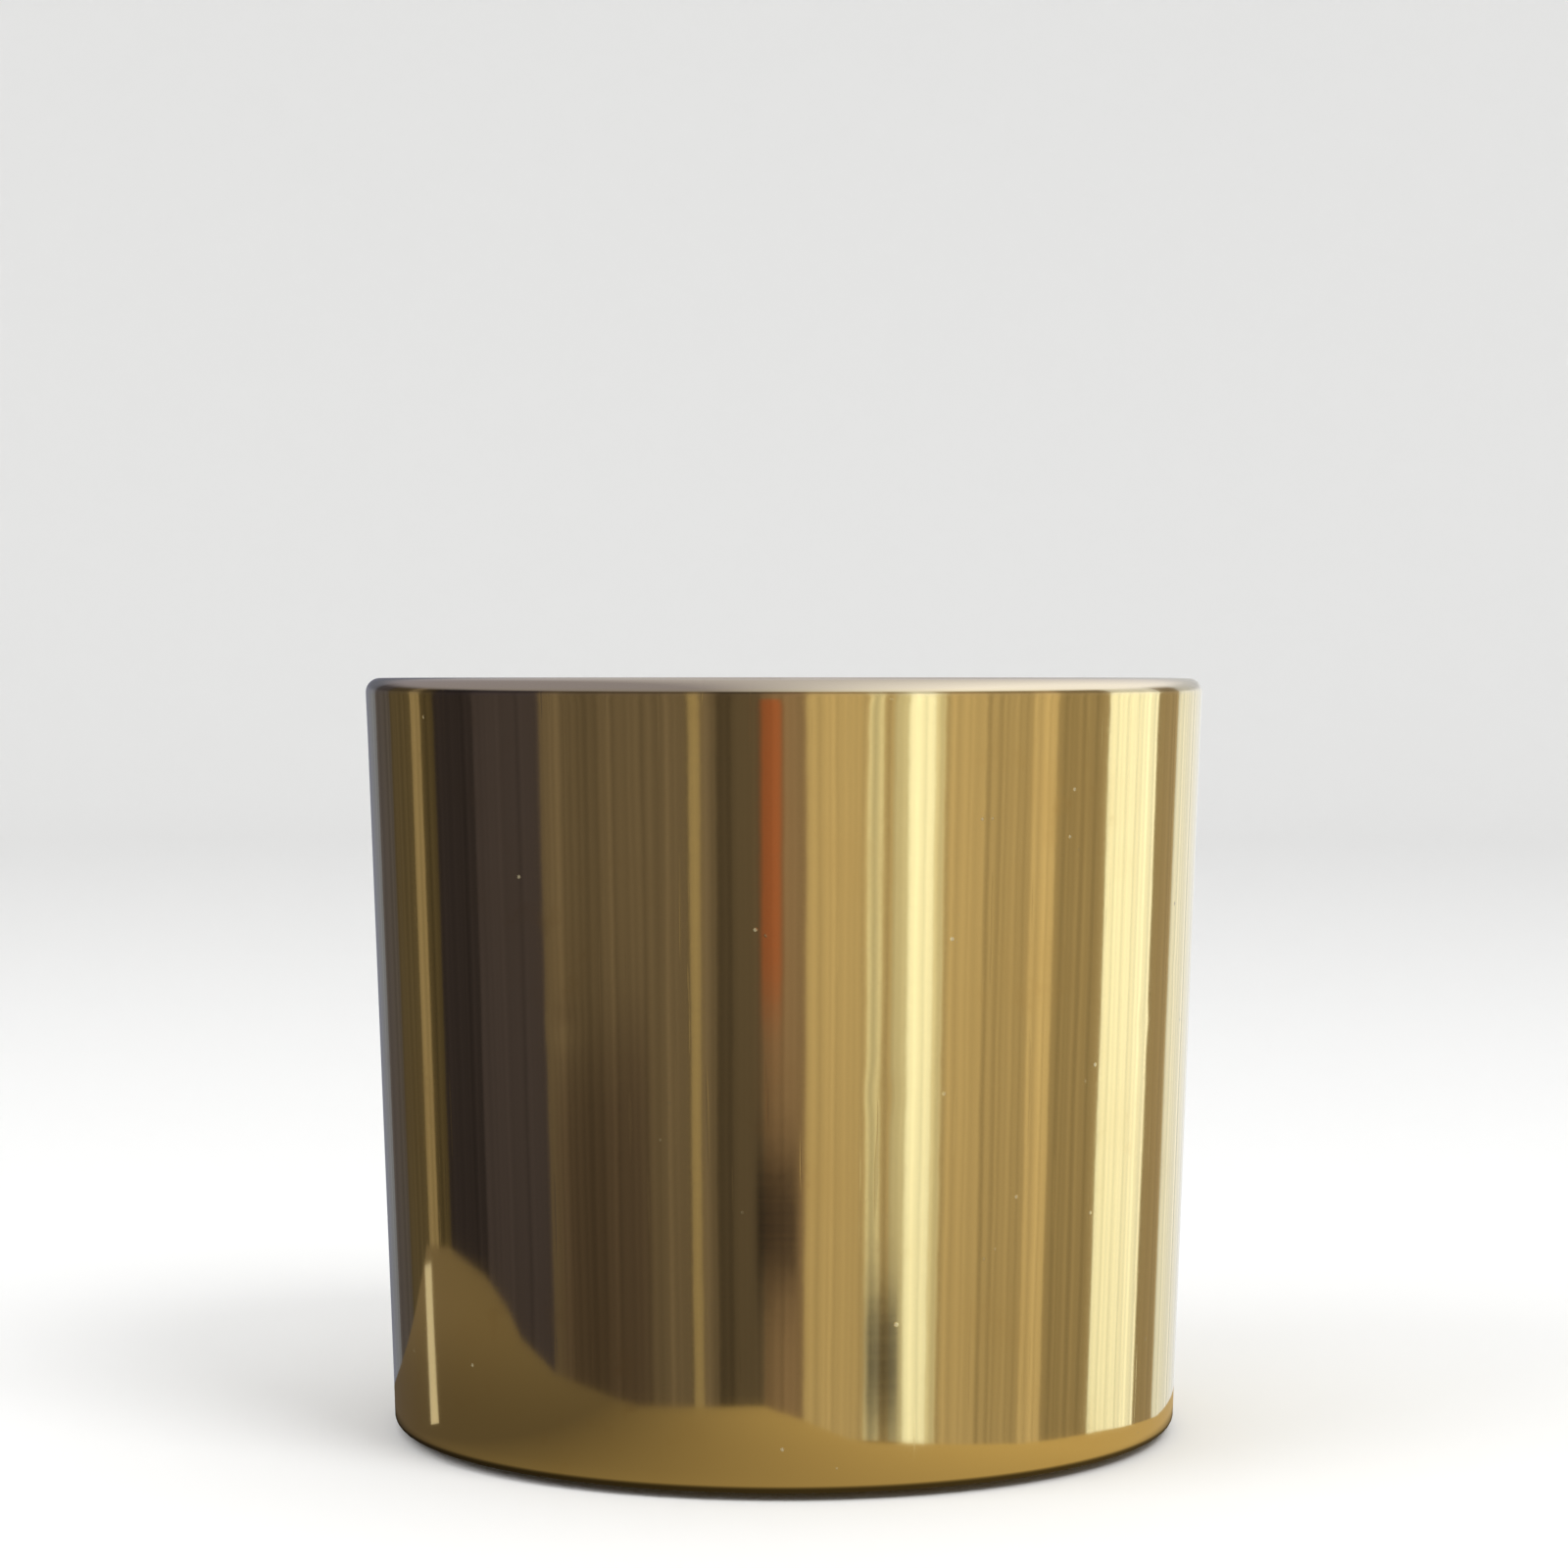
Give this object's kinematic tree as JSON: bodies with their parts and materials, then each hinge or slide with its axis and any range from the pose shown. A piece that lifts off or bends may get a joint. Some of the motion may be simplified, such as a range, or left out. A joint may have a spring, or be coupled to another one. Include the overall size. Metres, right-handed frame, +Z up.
{
  "type": "planter pot",
  "caption": "Tapered round planter pot of polished brass sheet with a rolled rim, on small rubber feet, with a lift-out plastic grow pot and drip saucer.",
  "frame": {"origin": "on the surface that the pot stands on, under the middle of the pot", "axes": "+Z up along the pot's axis, X and Y level, with a foot in each quadrant"},
  "size_m": [0.2396, 0.2396, 0.215],
  "materials": {
    "polished_brass": "mirror polished, lacquered",
    "satin_brass": "satin, as rolled",
    "foot_rubber": "matt",
    "saucer_plastic": "smooth moulded",
    "grow_pot_plastic": "fine moulded grain"
  },
  "bodies": {
    "pot": {"pot_wall": "polished_brass", "base_disc": "satin_brass", "rubber_foot_1": "foot_rubber", "rubber_foot_2": "foot_rubber", "rubber_foot_3": "foot_rubber", "rubber_foot_4": "foot_rubber"},
    "saucer": {"drip_saucer": "saucer_plastic"},
    "grow_pot": {"grow_pot": "grow_pot_plastic"}
  },
  "joints": [
    {"name": "saucer_lift", "type": "slide", "parent": "pot", "child": "saucer", "axis": [0, 0, 1], "range_m": [0, 0.213]},
    {"name": "grow_pot_lift", "type": "slide", "parent": "saucer", "child": "grow_pot", "axis": [0, 0, 1], "range_m": [0, 0.208]}
  ]
}
